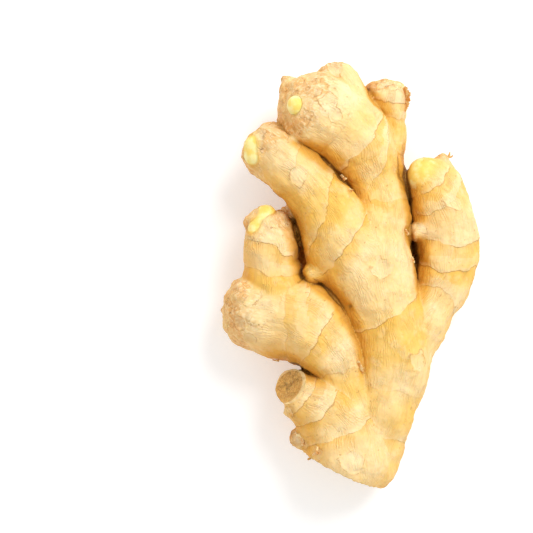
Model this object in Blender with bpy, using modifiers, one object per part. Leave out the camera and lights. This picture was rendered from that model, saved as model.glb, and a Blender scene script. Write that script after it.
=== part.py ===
"""A fresh ginger root, built as the one branched rhizome that it is.

The root lies on a table. +Z is up, the table is the plane z = 0, and the origin is the middle of the root's
bounding box, on the table. Its cut heel points to -Y and its longest fingers point to +Y.

Each finger, knob and bud is a curve with a round bevel. A voxel remesh fuses them, the skin is then settled
onto one blended surface, and lumps and growth rings are raised from it by formulas. Three cuts make the
broken heel, the flat scar of a snapped finger on its stub, and the small flats that the root rests on.
"""

import math

import bmesh
import bpy
import numpy as np
from mathutils import Vector

# Driving dimensions, in metres.
ROOT_LENGTH = 0.160
BLEND = 0.0011
VOXEL = 0.0009
RING_HEIGHT = 0.0012
RING_WIDTH = 0.0013
SWELL = 0.0007
WANDER = 0.0005
LUMP = 0.0004
TRIANGLES = 10600

# The stations below are in millimetres on a root 160 mm long: x, y and z of the axis, then the radius.
MM = ROOT_LENGTH / 160
# Each cut: the middle of the cutter's end face, the way that this face looks, into the root, the cutter's
# size, and how many sides the prism has.
CUTS = {
    "heel_cut": ((-4.5, -71.5, 16.0), (0.43, 0.903, 0.05), (120, 120, 40), 4),
    "scar_cut": ((-23.5, -40.7, 23.3), (0.64, -0.44, -0.63), (16, 16, 11), 24),
    "table_cut": ((0, 0, 0.35), (0, 0, 1), (400, 400, 20), 4),
}
# From the stations to the root's own frame: the middle of its box comes to x = y = 0, its flats to z = 0.
SHIFT = np.array([-0.08, -0.22, -0.35]) * MM
SPAN_STEPS = 8
DOME_STEPS = 5
TUBE_SIDES = 5

# Each limb runs from where it grows out of the root to its tip. A ring crosses the axis so many millimetres
# along it, leans tipwards by its second number for each millimetre to the limb's side, and bows by its third.
LIMBS = {
    "trunk": {
        "stations": [
            (6.0, -68.0, 14.0, 12.5),
            (7.6, -57.0, 14.5, 12.6),
            (10.5, -47.5, 15.5, 13.5),
            (13.5, -37.5, 16.5, 14.0),
            (14.5, -27.5, 17.0, 14.5),
            (12.5, -16.5, 17.5, 15.0),
            (9.3, -5.0, 18.0, 15.0),
            (8.3, 5.0, 17.5, 14.5),
            (7.8, 15.0, 16.0, 13.5),
        ],
        "rings": ((12.0, -0.3, 0), (27.8, 0.03, 0), (53.5, 0.21, 0.006)),
    },
    "heel": {
        "stations": [
            (-1.0, -66.0, 17.0, 16.5),
            (-3.0, -57.0, 16.0, 16.0),
            (-8.0, -49.0, 17.5, 14.0),
            (-14.0, -46.0, 19.0, 10.8),
            (-19.0, -43.0, 21.0, 8.0),
            (-23.5, -40.2, 24.0, 6.7),
        ],
        "rings": ((6.9, 0.35, 0.011), (21.7, 0.02, 0.023), (31.1, -0.24, 0)),
    },
    "front_finger": {
        "stations": [
            (8.0, -6.0, 18.0, 14.0),
            (2.0, 4.0, 19.0, 15.0),
            (-5.0, 14.0, 21.5, 14.0),
            (-10.3, 25.0, 24.5, 11.5),
            (-16.5, 34.0, 25.0, 10.0),
            (-23.5, 40.5, 23.5, 10.5),
            (-29.5, 46.0, 21.5, 10.5),
        ],
        "rings": ((22.0, 0.40, 0.009), (37.5, 0.79, -0.010)),
    },
    "top_finger": {
        "stations": [
            (8.5, 11.5, 15.0, 13.5),
            (9.0, 26.5, 13.5, 12.3),
            (5.5, 38.5, 13.0, 13.0),
            (0.5, 49.5, 16.5, 15.0),
            (-6.5, 56.5, 19.0, 13.8),
            (-13.3, 60.3, 22.0, 14.6),
        ],
        "rings": ((15.6, -0.08, 0), (39.9, 0.36, -0.010)),
    },
    "back_knob": {
        "stations": [
            (3.0, 55.0, 13.0, 10.0),
            (-1.5, 64.0, 13.5, 9.2),
            (-4.5, 69.0, 13.5, 8.9),
            (-5.8, 71.0, 13.5, 8.6),
        ],
        "rings": (),
    },
    "outer_finger": {
        "stations": [
            (8.5, 22.5, 14.5, 12.0),
            (11.0, 37.5, 12.0, 9.5),
            (13.0, 48.5, 10.5, 7.0),
            (14.0, 59.0, 9.5, 6.5),
            (13.5, 66.0, 9.5, 8.0),
        ],
        "rings": ((24.0, 0, 0), (36.0, 0, 0), (43.5, -0.35, 0)),
    },
    "side_finger": {
        "stations": [
            (13.5, -43.0, 15.0, 12.0),
            (17.0, -34.0, 15.0, 11.5),
            (22.0, -23.5, 14.0, 10.5),
            (27.5, -13.5, 13.0, 10.8),
            (32.6, -4.5, 12.0, 10.8),
            (35.2, 5.0, 12.0, 11.6),
            (35.6, 14.0, 12.0, 12.0),
            (34.0, 23.5, 12.5, 11.5),
            (32.0, 30.5, 12.5, 10.5),
            (29.0, 36.5, 12.5, 8.0),
        ],
        "rings": (
            (42.0, 0.14, -0.050),
            (50.3, 0.11, 0.008),
            (60.1, -0.05, 0.020),
            (73.3, 0.40, 0.030),
            (81.5, 0.40, 0.028),
        ),
    },
    "side_tip": {
        "stations": [
            (32.5, 32.0, 11.0, 9.0),
            (34.0, 38.5, 11.0, 5.2),
            (33.6, 43.2, 11.5, 2.4),
        ],
        "rings": (),
    },
    "near_finger": {
        "stations": [
            (1.0, -48.5, 18.0, 11.0),
            (-2.5, -38.5, 20.5, 9.5),
            (-6.5, -29.0, 21.0, 11.0),
            (-17.0, -18.0, 18.5, 15.5),
            (-25.0, -15.0, 16.0, 16.0),
            (-33.5, -13.5, 16.0, 15.0),
        ],
        "rings": ((14.5, 0, 0), (27.3, 0.13, 0.011), (40.5, 0.30, 0)),
    },
    "thumb": {
        "stations": [
            (-28.5, -5.0, 18.0, 12.0),
            (-30.0, 5.0, 19.0, 10.0),
            (-30.0, 12.0, 20.0, 10.0),
            (-33.0, 19.5, 20.5, 6.4),
        ],
        "rings": ((7.5, -0.30, 0), (17.3, -0.50, 0)),
    },
    "thumb_shoulder": {
        "stations": [
            (-27.5, 9.5, 19.5, 7.5),
            (-24.8, 15.6, 20.0, 4.9),
        ],
        "rings": (),
    },
    "crook_knob": {
        "stations": [
            (-12.0, 22.0, 17.0, 6.5),
            (-18.5, 24.0, 16.5, 5.2),
            (-21.8, 23.6, 16.5, 4.4),
        ],
        "rings": (),
    },
    "hip_bud": {
        "stations": [
            (-3.5, 6.0, 20.0, 6.5),
            (-9.5, 3.0, 23.0, 5.0),
            (-14.5, 1.0, 24.0, 3.7),
        ],
        "rings": (),
    },
    "waist_bud": {
        "stations": [
            (10.5, -13.5, 19.5, 9.0),
            (3.0, -15.0, 20.0, 6.0),
            (0.5, -15.5, 20.0, 5.2),
        ],
        "rings": (),
    },
    "side_bud": {
        "stations": [
            (30.5, 16.5, 16.0, 6.0),
            (25.0, 16.5, 17.5, 3.7),
        ],
        "rings": (),
    },
    "heel_bud": {
        "stations": [
            (-13.5, -50.5, 17.5, 6.5),
            (-22.5, -50.0, 17.5, 3.5),
        ],
        "rings": (),
    },
    "heel_scar": {
        "stations": [
            (-11.0, -57.5, 16.0, 8.0),
            (-19.5, -60.5, 16.0, 3.5),
        ],
        "rings": (),
    },
    "top_bud": {
        "stations": [
            (-17.5, 61.0, 29.0, 4.6),
            (-21.3, 62.2, 33.2, 3.4),
        ],
        "rings": (),
    },
    "top_nubs": {
        "stations": [
            (-22.5, 70.0, 21.0, 4.0),
            (-25.0, 72.5, 21.0, 1.6),
        ],
        "rings": (),
    },
    "top_spur": {
        "stations": [
            (-16.5, 53.0, 25.0, 4.0),
            (-20.0, 50.5, 27.0, 1.7),
        ],
        "rings": (),
    },
    "front_bud": {
        "stations": [
            (-34.0, 44.5, 24.5, 4.8),
            (-35.0, 49.0, 26.0, 4.2),
        ],
        "rings": (),
    },
    "thumb_bud": {
        "stations": [
            (-32.5, 18.5, 22.0, 5.0),
            (-33.5, 21.5, 23.0, 4.2),
        ],
        "rings": (),
    },
    "near_bud": {
        "stations": [
            (-37.0, -9.5, 22.0, 7.0),
            (-40.5, -7.0, 24.5, 4.6),
        ],
        "rings": (),
    },
    "near_nub": {
        "stations": [
            (-39.5, -18.0, 18.0, 7.0),
            (-43.5, -18.0, 18.0, 3.5),
        ],
        "rings": (),
    },
    "side_eye": {
        "stations": [
            (29.5, 33.0, 13.0, 8.0),
            (27.3, 37.0, 15.5, 6.9),
        ],
        "rings": (),
    },
    "edge_nub": {
        "stations": [
            (24.0, -28.0, 12.0, 5.5),
            (29.3, -27.0, 12.0, 1.8),
        ],
        "rings": (),
    },
    "foot_nub": {
        "stations": [
            (13.0, -60.5, 13.0, 6.0),
            (17.6, -60.5, 13.0, 2.0),
        ],
        "rings": (),
    },
}


def placed(station):
    """A place among the stations, in metres in the root's own frame."""
    return np.array(station, float) * MM + SHIFT


def axis_of(stations):
    """A Catmull-Rom curve through the stations, in metres: rows of x, y, z and radius."""
    known = np.array([[*placed(station[:3]), station[3] * MM] for station in stations])
    before = 2 * known[0] - known[1]
    after = 2 * known[-1] - known[-2]
    known = np.vstack([before, known, after])
    t = np.linspace(0, 1, SPAN_STEPS, endpoint=False)[:, None]
    rows = []
    for a, b, c, d in zip(known, known[1:], known[2:], known[3:]):
        bend = (2 * a - 5 * b + 4 * c - d) * t**2 + (3 * b - a - 3 * c + d) * t**3
        rows.append(0.5 * (2 * b + (c - a) * t + bend))
    rows.append(known[-2][None])
    return np.vstack(rows)


def dome(end, inner):
    """Axis points beyond an end, with radii that close it as a half ball."""
    outward = (end[:3] - inner[:3]) / np.linalg.norm(end[:3] - inner[:3])
    angle = math.radians(85) * np.arange(1, DOME_STEPS + 1)[:, None] / DOME_STEPS
    return np.hstack([end[:3] + outward * end[3] * np.sin(angle), end[3] * np.cos(angle)])


def tube_of(name, axis):
    """One limb as a curve with a round bevel, closed by a dome at each end."""
    rows = np.vstack([dome(axis[0], axis[1])[::-1], axis, dome(axis[-1], axis[-2])])
    data = bpy.data.curves.new(name, "CURVE")
    data.dimensions = "3D"
    data.twist_mode = "MINIMUM"
    data.bevel_depth = 1.0
    data.bevel_resolution = TUBE_SIDES
    data.use_fill_caps = True
    spline = data.splines.new("POLY")
    spline.points.add(len(rows) - 1)
    spline.points.foreach_set("co", np.column_stack([rows[:, :3], np.ones(len(rows))]).ravel())
    spline.points.foreach_set("radius", rows[:, 3])
    return bpy.data.objects.new(name, data)


def mesh_of(obj):
    """A copy of what the object's modifiers or bevel make of it."""
    bpy.context.view_layer.update()
    graph = bpy.context.evaluated_depsgraph_get()
    return bpy.data.meshes.new_from_object(obj.evaluated_get(graph), depsgraph=graph)


def applied(obj):
    """The object's mesh with its modifiers applied and taken off."""
    mesh = mesh_of(obj)
    obj.modifiers.clear()
    return mesh


def triangles_of(mesh):
    """How many triangles the mesh makes."""
    return sum(len(face.vertices) - 2 for face in mesh.polygons)


def remesh(obj):
    """One even, closed skin round all that the object's mesh holds."""
    modifier = obj.modifiers.new("One skin", "REMESH")
    modifier.mode = "VOXEL"
    modifier.voxel_size = VOXEL


def cut_with(obj, name, cutters):
    """Takes the named cut from the object."""
    modifier = obj.modifiers.new(name, "BOOLEAN")
    modifier.operation = "DIFFERENCE"
    modifier.object = cutter(name, cutters)


def fused(tubes, collection):
    """The limbs joined in one mesh, and fused to one skin by a voxel remesh."""
    joined = bmesh.new()
    for tube in tubes:
        collection.objects.link(tube)
        mesh = mesh_of(tube)
        joined.from_mesh(mesh)
        bpy.data.meshes.remove(mesh)
        bpy.data.objects.remove(tube)
    bmesh.ops.remove_doubles(joined, verts=joined.verts, dist=1e-6)
    mesh = bpy.data.meshes.new("ginger_root")
    joined.to_mesh(mesh)
    joined.free()
    root = bpy.data.objects.new("ginger_root", mesh)
    collection.objects.link(root)
    remesh(root)
    root.data = applied(root)
    return root


def limb_depths(points, axis):
    """For each point: its distance outside the limb, the way out, and its places along and across the limb."""
    offset = points[:, None, :] - axis[None, :, :3]
    distance = np.linalg.norm(offset, axis=2)
    outside = distance - axis[None, :, 3]
    nearest = outside.argmin(axis=1)
    rows = np.arange(len(points))
    offset, distance, outside = offset[rows, nearest], distance[rows, nearest], outside[rows, nearest]
    steps = np.linalg.norm(np.diff(axis[:, :3], axis=0), axis=1)
    tangent = np.gradient(axis[:, :3], axis=0)
    tangent /= np.linalg.norm(tangent, axis=1)[:, None]
    sideways = np.cross(tangent, (0, 0, 1))
    sideways /= np.linalg.norm(sideways, axis=1)[:, None]
    along = np.concatenate([[0], np.cumsum(steps)])[nearest] + (offset * tangent[nearest]).sum(axis=1)
    across = (offset * sideways[nearest]).sum(axis=1)
    return outside, offset / np.maximum(distance, 1e-9)[:, None], along, across


def skin(points, axes):
    """The blended surface: each point's depth outside it and way out, and each limb's share and two places."""
    found = [limb_depths(points, axis) for axis in axes.values()]
    outside, away, along, across = (np.array(rows) for rows in zip(*found))
    share = np.exp(-(outside - outside.min(axis=0)) / BLEND)
    total = share.sum(axis=0)
    depth = outside.min(axis=0) - BLEND * np.log(total)
    share /= total
    return depth, np.einsum("ln,lnk->nk", share, away), share, (along, across)


def settle(points, axes, rounds=3):
    """The points moved onto the blended surface."""
    for _ in range(rounds):
        depth, away, _, _ = skin(points, axes)
        points = points - away * (depth / np.maximum((away**2).sum(axis=1), 0.05))[:, None]
    return points


def rings(along, across, marks, reach, points):
    """Height of a limb's growth rings: a raised lip at each mark, and a slight swell between two marks."""
    x, y, z = points.T / MM
    along = along + WANDER * (np.sin(x / 5.1) + np.sin(y / 4.3 + z / 3.7))
    lines = [mark * MM + lean * across + bow * across**2 / MM for mark, lean, bow in marks]
    height = sum(RING_HEIGHT * np.exp(-(((along - line) / RING_WIDTH) ** 2)) for line in lines)
    edges = np.column_stack([np.zeros(len(along)), *lines, np.full(len(along), reach)])
    rows = np.arange(len(along))
    span = np.clip((along[:, None] >= edges).sum(axis=1) - 1, 0, len(marks))
    start, end = edges[rows, span], edges[rows, span + 1]
    within = np.clip((along - start) / np.maximum(end - start, MM), 0, 1)
    return height + SWELL * (np.sin(math.pi * within) - 0.5)


def lumps(points):
    """Slow waves in three directions that keep the skin from looking turned on a lathe."""
    x, y, z = points.T / (2.6 * MM)
    waves = np.sin(x + 0.6 * y + 1.0) + np.sin(0.8 * y - 0.7 * z)
    waves += np.sin(0.9 * z + 0.5 * x - 0.4 * y + 2.0)
    return LUMP * waves / 1.5


def raise_relief(points, axes):
    """The points lifted along the way out by the lumps, and by the rings of the limbs that they lie on."""
    _, away, share, (along, across) = skin(points, axes)
    away = away / np.linalg.norm(away, axis=1)[:, None]
    lift = lumps(points)
    for number, (name, axis) in enumerate(axes.items()):
        marks = LIMBS[name]["rings"]
        if marks:
            reach = np.linalg.norm(np.diff(axis[:, :3], axis=0), axis=1).sum() + axis[-1, 3]
            lift += share[number] * rings(along[number], across[number], marks, reach, points)
    return points + away * lift[:, None]


def cutter(name, collection):
    """A prism to cut with. Its end face has its middle at the cut's place and looks along its facing."""
    at, facing, size, sides = CUTS[name]
    facing = Vector(facing).normalized()
    bpy.ops.mesh.primitive_cylinder_add(vertices=sides, radius=0.5, depth=1)
    prism = bpy.context.object
    prism.name = name
    prism.scale = Vector(size) * MM
    prism.rotation_mode = "QUATERNION"
    prism.rotation_quaternion = facing.to_track_quat("Z", "Y")
    prism.location = Vector(placed(at)) - facing * prism.scale.z / 2
    prism.hide_render = True
    prism.display_type = "WIRE"
    for owner in prism.users_collection:
        owner.objects.unlink(prism)
    collection.objects.link(prism)
    return prism


def skin_material():
    """Thin buff skin over yellow flesh."""
    material = bpy.data.materials.new("ginger_skin")
    material.use_nodes = True
    shader = material.node_tree.nodes["Principled BSDF"]
    shader.inputs["Base Color"].default_value = (0.86, 0.63, 0.31, 1)
    shader.inputs["Roughness"].default_value = 0.55
    shader.inputs["Metallic"].default_value = 0.0
    return material


def build():
    """Makes the root."""
    for obj in list(bpy.data.objects):
        bpy.data.objects.remove(obj)
    collection = bpy.data.collections.new("ginger root")
    cutters = bpy.data.collections.new("cutters")
    bpy.context.scene.collection.children.link(collection)
    bpy.context.scene.collection.children.link(cutters)

    axes = {name: axis_of(limb["stations"]) for name, limb in LIMBS.items()}
    root = fused([tube_of(name, axis) for name, axis in axes.items()], collection)
    points = np.zeros(len(root.data.vertices) * 3)
    root.data.vertices.foreach_get("co", points)
    points = raise_relief(settle(points.reshape(-1, 3), axes), axes)
    root.data.vertices.foreach_set("co", points.ravel())

    remesh(root)
    for name in ("heel_cut", "scar_cut"):
        cut_with(root, name, cutters)
    root.data = applied(root)
    thin = root.modifiers.new("Fewer faces", "DECIMATE")
    thin.ratio = TRIANGLES / triangles_of(root.data)
    thin.use_collapse_triangulate = True
    cut_with(root, "table_cut", cutters)
    root.data.materials.append(skin_material())
    root.data.shade_smooth()
    return root


build()
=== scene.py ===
# %% [markdown]
# # A fresh ginger root
#
# Ginger is a stem that grows underground. It branches into stout fingers, it is ringed where its scale
# leaves sat, and it wears a skin as thin as paper over yellow flesh. This lesson dresses the plain
# solid of one root: it grows a fine skin round the same limbs, works out where on the root each point
# of the skin lies, and lets that decide both the relief and the colours.

# %% Load the solid
import math

import bpy
import numpy as np
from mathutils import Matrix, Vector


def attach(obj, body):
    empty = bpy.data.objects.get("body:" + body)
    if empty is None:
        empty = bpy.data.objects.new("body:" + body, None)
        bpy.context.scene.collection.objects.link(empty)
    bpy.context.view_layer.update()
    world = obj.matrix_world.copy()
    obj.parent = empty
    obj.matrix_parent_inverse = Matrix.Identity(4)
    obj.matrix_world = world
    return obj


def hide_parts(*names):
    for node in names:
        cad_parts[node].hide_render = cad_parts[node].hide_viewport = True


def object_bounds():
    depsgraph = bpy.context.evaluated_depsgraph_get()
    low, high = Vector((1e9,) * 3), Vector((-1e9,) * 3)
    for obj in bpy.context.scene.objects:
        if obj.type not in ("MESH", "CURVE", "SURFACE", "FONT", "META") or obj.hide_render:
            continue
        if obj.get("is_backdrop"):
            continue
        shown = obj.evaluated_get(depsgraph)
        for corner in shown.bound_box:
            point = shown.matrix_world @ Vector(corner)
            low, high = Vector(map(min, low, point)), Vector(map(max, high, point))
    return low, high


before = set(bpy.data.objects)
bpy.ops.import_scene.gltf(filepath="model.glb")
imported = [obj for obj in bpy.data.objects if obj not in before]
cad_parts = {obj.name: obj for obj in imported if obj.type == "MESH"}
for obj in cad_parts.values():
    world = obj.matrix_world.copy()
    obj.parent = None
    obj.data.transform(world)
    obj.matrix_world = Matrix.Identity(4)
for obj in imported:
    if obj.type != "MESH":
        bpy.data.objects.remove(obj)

cad_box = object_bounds()
print("The solid's box:", cad_box)

# %% [markdown]
# ## The scale
#
# The whole lesson is written in millimetres of a root whose solid is 158.6 mm long, and MM turns them
# into metres. It is measured on the solid, so the skin would follow the solid if that were made larger.
# SHIFT moves the places in the lists to where the solid lies in its frame.

# %% Millimetres on this root
SOLID_LENGTH = 158.6
MM = (cad_box[1][1] - cad_box[0][1]) / SOLID_LENGTH
SHIFT = np.array([-0.08, -0.22, -0.35])
print("One millimetre of the drawing is", MM, "m")


# %% Two ways to add a thing to the scene
def added(name, data):
    """A new object that holds the data."""
    made = bpy.data.objects.new(name, data)
    bpy.context.scene.collection.objects.link(made)
    return made


def added_mesh(name, points, faces):
    """A new object with a mesh of these faces between the points, which are in mm."""
    mesh = bpy.data.meshes.new(name)
    mesh.from_pydata((points * MM).tolist(), [], faces)
    return added(name, mesh)


# %% [markdown]
# ## The camera
#
# The picture looks straight down on the root, from far enough to keep it nearly free of perspective.
# One pixel of the picture covers 0.37 mm at the height of the fingers' widest line. The pixel that lies
# over the root's middle isn't the picture's middle, so the camera stands a little to the left and in
# front of it.

# %% Look straight down
PICTURE_SIDE = 533
PIXEL = 0.37
MIDDLE_PIXEL = (352, 276)
CAMERA_HEIGHT = 750
WIDEST_LINE = 20
SENSOR = 36
FARTHEST_METRES = 10

camera = added("camera", bpy.data.cameras.new("camera"))
bpy.context.scene.camera = camera
camera.location = (
    ((PICTURE_SIDE / 2 - MIDDLE_PIXEL[0]) * PIXEL + SHIFT[0]) * MM,
    ((MIDDLE_PIXEL[1] - PICTURE_SIDE / 2) * PIXEL + SHIFT[1]) * MM,
    CAMERA_HEIGHT * MM,
)
camera.data.sensor_width = SENSOR
camera.data.lens = SENSOR * (CAMERA_HEIGHT - WIDEST_LINE) / (PICTURE_SIDE * PIXEL)
camera.data.clip_end = FARTHEST_METRES
print("Lens:", round(camera.data.lens, 1), "mm")

# %% [markdown]
# ## The limbs
#
# A root is easiest to describe by what it grew: limbs, each one a bent axis with a thickness at every
# place. The list follows the solid's own limbs. Each row is one station: x, y and z of the axis, the
# radius, and how golden the skin is there, from 0 for old cream skin to 1 for young gold. The cap is
# how far, from the tip back, the skin is scarred and mottled.
#
# A limb without rings or a cap leaves those out. A ring's row says where it crosses the axis, in mm
# along it, how far it leans tipwards and how far it bows for each mm to the limb's side, how strong it
# is, and on which side it shows: 1 or -1, or 0 for all round.

# %% Heel and trunk
LIMBS = {
    "trunk": {
        "stations": [
            (6, -68, 14, 12.5, 0.5), (7.6, -57, 14.5, 12.6, 0.35), (10.5, -47.5, 15.5, 13.5, 0.7),
            (13.5, -37.5, 16.5, 14, 0.35), (14.5, -27.5, 17, 14.5, 0.75), (12.5, -16.5, 17.5, 15, 0.6),
            (9.3, -5, 18, 15, 0.2), (8.3, 5, 17.5, 14.5, 0.25), (7.8, 15, 16, 13.5, 0.55),
        ],
        "rings": [(12, -0.3, 0, 0.8, 0), (27.8, 0.03, 0, 0.25, 0), (53.5, 0.21, 0.006, 1, 0)],
    },
    "heel": {
        "stations": [
            (-1, -66, 17, 16.5, 0.25), (-3, -57, 16, 16, 0.2), (-8, -49, 17.5, 14, 0.3),
            (-14, -46, 19, 10.8, 0.2), (-19, -43, 21, 8, 0.2), (-23.5, -40.2, 24, 6.7, 0.25),
        ],
        "rings": [(6.9, 0.35, 0.011, 1, 0), (21.7, 0.02, 0.023, 1, 0), (31.1, -0.24, 0, 0.9, 0)],
    },
}

# %% The five long fingers
LIMBS |= {
    "front_finger": {
        "stations": [
            (8, -6, 18, 14, 0.2), (2, 4, 19, 15, 0.2), (-5, 14, 21.5, 14, 0.45),
            (-10.3, 25, 24.5, 11.5, 0.75), (-16.5, 34, 25, 10, 0.4), (-23.5, 40.5, 23.5, 10.5, 0.2),
            (-29.5, 46, 21.5, 10.5, 0.2),
        ],
        "rings": [(22, 0.4, 0.009, 1, 0), (37.5, 0.79, -0.01, 0.9, 0), (52.5, 0.8, 0, 0.5, 1)],
        "cap": 20,
    },
    "top_finger": {
        "stations": [
            (8.5, 11.5, 15, 13.5, 0.6), (9, 26.5, 13.5, 12.3, 0.55), (5.5, 38.5, 13, 13, 0.75),
            (0.5, 49.5, 16.5, 15, 0.3), (-6.5, 56.5, 19, 13.8, 0.1), (-13.3, 60.3, 22, 14.6, 0.1),
        ],
        "rings": [(15.6, -0.08, 0, 0.6, 0), (24, 1.17, 0, 0.7, 1), (39.9, 0.36, -0.01, 1, 0)],
        "cap": 17,
    },
    "outer_finger": {
        "stations": [
            (8.5, 22.5, 14.5, 12, 0.5), (11, 37.5, 12, 9.5, 0.6), (13, 48.5, 10.5, 7, 0.45),
            (14, 59, 9.5, 6.5, 0.4), (13.5, 66, 9.5, 8, 0.15),
        ],
        "rings": [(24, 0, 0, 0.5, 0), (36, 0, 0, 0.5, 0), (43.5, -0.35, 0, 0.8, 0)],
        "cap": 7,
    },
    "side_finger": {
        "stations": [
            (13.5, -43, 15, 12, 0.5), (17, -34, 15, 11.5, 0.5), (22, -23.5, 14, 10.5, 0.45),
            (27.5, -13.5, 13, 10.8, 0.3), (32.6, -4.5, 12, 10.8, 0.3), (35.2, 5, 12, 11.6, 0.5),
            (35.6, 14, 12, 12, 0.2), (34, 23.5, 12.5, 11.5, 0.25), (32, 30.5, 12.5, 10.5, 0.4),
            (29, 36.5, 12.5, 8, 0.6),
        ],
        "rings": [
            (42, 0.14, -0.05, 0.6, 0), (50.3, 0.11, 0.008, 1, 0), (60.1, -0.05, 0.02, 1, 0),
            (73.3, 0.4, 0.03, 0.7, 0), (81.5, 0.4, 0.028, 0.9, 0),
        ],
    },
    "near_finger": {
        "stations": [
            (1, -48.5, 18, 11, 0.4), (-2.5, -38.5, 20.5, 9.5, 0.7), (-6.5, -29, 21, 11, 0.35),
            (-17, -18, 18.5, 15.5, 0.3), (-25, -15, 16, 16, 0.15), (-33.5, -13.5, 16, 15, 0.1),
        ],
        "rings": [
            (14.5, 0, 0, 0.4, 0), (27.3, 0.13, 0.011, 1, 0), (33.5, 0.4, 0, 0.7, 1),
            (40.5, 0.3, 0, 0.5, 0),
        ],
        "cap": 19,
    },
}

# %% Thumb, knobs and buds
LIMBS |= {
    "thumb": {
        "stations": [
            (-28.5, -5, 18, 12, 0.6), (-30, 5, 19, 10, 0.3), (-30, 12, 20, 10, 0.1),
            (-33, 19.5, 20.5, 6.4, 0.15),
        ],
        "rings": [(7.5, -0.3, 0, 0.6, 0), (17.3, -0.5, 0, 1, 0)],
        "cap": 15,
    },
    "back_knob": {
        "stations": [
            (3, 55, 13, 10, 0.35), (-1.5, 64, 13.5, 9.2, 0.5), (-4.5, 69, 13.5, 8.9, 0.4),
            (-5.8, 71, 13.5, 8.6, 0.3),
        ],
        "cap": 6,
    },
    "side_tip": {
        "stations": [(32.5, 32, 11, 9, 0.35), (34, 38.5, 11, 5.2, 0.45), (33.9, 42.7, 11.8, 3.2, 0.3)],
        "cap": 5,
    },
    "thumb_shoulder": {"stations": [(-27.5, 9.5, 19.5, 7.5, 0.2), (-24.8, 15.6, 20, 4.9, 0.5)]},
    "crook_knob": {
        "stations": [
            (-12, 22, 17, 6.5, 0.6), (-18.5, 24, 16.5, 5.2, 0.4), (-21.8, 23.6, 16.5, 4.4, 0.2),
        ],
        "cap": 7,
    },
    "hip_bud": {"stations": [(-3.5, 6, 20, 6.5, 0.4), (-9.5, 3, 23, 5, 0.7), (-14.5, 1, 24, 3.7, 0.7)]},
    "waist_bud": {
        # The waist bud's gold, past 1, is partly painted shade, for the shade of the near finger beside
        # it.
        "stations": [
            (10.5, -13.5, 19.5, 9, 0.5), (3, -15, 20.3, 6.1, 1.3), (0.8, -15.2, 20.4, 5.3, 1.5),
        ],
    },
    "side_bud": {"stations": [(30.5, 16.5, 16, 6, 0.2), (25, 16.5, 17.5, 3.7, 0)], "cap": 3},
    "heel_bud": {"stations": [(-13.5, -50.5, 17.5, 6.5, 0.2), (-22.5, -50, 17.5, 3.5, 0)], "cap": 3},
    "heel_scar": {"stations": [(-11, -57.5, 16, 8, 0.5), (-19.5, -60.5, 16, 3.5, 0.6)], "cap": 6},
    "near_bud": {"stations": [(-37, -9.5, 22, 7, 0.1), (-40.5, -7, 24.5, 4.6, 0.1)], "cap": 6},
    "near_nub": {"stations": [(-39.5, -18, 18, 7, 0.1), (-43.5, -18, 18, 3.5, 0.1)], "cap": 6},
    "top_nubs": {"stations": [(-22.5, 70, 21, 4, 0.3), (-25, 72.5, 21, 1.6, 0.5)], "cap": 5},
    "top_spur": {"stations": [(-16.5, 53, 26.5, 4, -0.3), (-21.6, 50.2, 28.5, 1.6, -0.4)]},
    "edge_nub": {"stations": [(24, -28, 12, 5.5, 0.4), (29.3, -27, 12, 1.8, 0.3)]},
    "foot_nub": {"stations": [(13, -60.5, 13, 6, 0.5), (17.6, -60.5, 13, 2, 0.6)]},
}

# %% [markdown]
# Deep in two slits, the fingers have grown together with thin webs of flesh. A web is a limb like the
# others, only low and thin.

# %% Webs in the slits
LIMBS |= {
    "thumb_web": {"stations": [(-20.5, 22.6, 9, 3.4, 1), (-20, 9.6, 8, 3.4, 1), (-18.4, 4, 7, 3.2, 1)]},
    "side_web": {"stations": [(22.2, 15.2, 7, 2.6, 1), (22.6, 3, 6, 2.8, 1)]},
}

# %% [markdown]
# Young buds break through the skin as smooth yellow domes. They are limbs too, but they are kept in a
# list of their own, because the skin will be asked whether it lies on one of them. The fade says over
# how many mm a bud's yellow runs out into the skin round it.

# %% Yellow buds
BUDS = {
    "top_bud": {"stations": [(-17.5, 61, 29, 4.6, 1), (-21.3, 62.2, 33.2, 3.4, 1)], "fade": 0.5},
    "front_bud": {"stations": [(-35, 44.4, 26.4, 4.3, 1), (-35.1, 47.8, 26.4, 4.2, 1)], "fade": 0.8},
    "thumb_bud": {"stations": [(-34.8, 17.6, 25, 3.3, 1), (-32, 22.8, 23.5, 3, 1)], "fade": 0.5},
    "side_eye": {"stations": [(29.5, 33, 13, 8, 0.8), (27.3, 37, 15.5, 6.9, 1)], "fade": 2.5},
}
LIMBS |= BUDS
print(len(LIMBS), "limbs, of which", len(BUDS), "are yellow buds")

# %% [markdown]
# ## From stations to axes
#
# A few stations don't make a bent finger, so a Catmull-Rom curve runs through them. It passes every
# station and needs no handles, which suits a measured list. The radius and the gold go through
# the same formula, so they change as smoothly as the place does.

# %% A smooth row of numbers through the stations
SPAN_STEPS = 8


def smooth_rows(stations):
    """A Catmull-Rom curve from b to c, where a is the station before them and d the one after.

    It is half of 2b + (c - a) t + (2a - 5b + 4c - d) t^2 + (3b - a - 3c + d) t^3, t from 0 to 1.
    """
    known = np.array(stations, float)
    known = np.vstack([2 * known[0] - known[1], known, 2 * known[-1] - known[-2]])
    a, b, c, d = (known[start:len(known) - 3 + start, None] for start in range(4))
    t = (np.arange(SPAN_STEPS) / SPAN_STEPS)[None, :, None]
    square, cube = 2 * a - 5 * b + 4 * c - d, 3 * b - a - 3 * c + d
    spans = b + (c - a) * t / 2 + square * t**2 / 2 + cube * t**3 / 2
    return np.vstack([spans.reshape(-1, known.shape[1]), known[-2]])


TINY = 1e-9


def unit(vectors):
    """Each vector divided by its own length."""
    return vectors / np.maximum(np.linalg.norm(vectors, axis=-1, keepdims=True), TINY)


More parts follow.
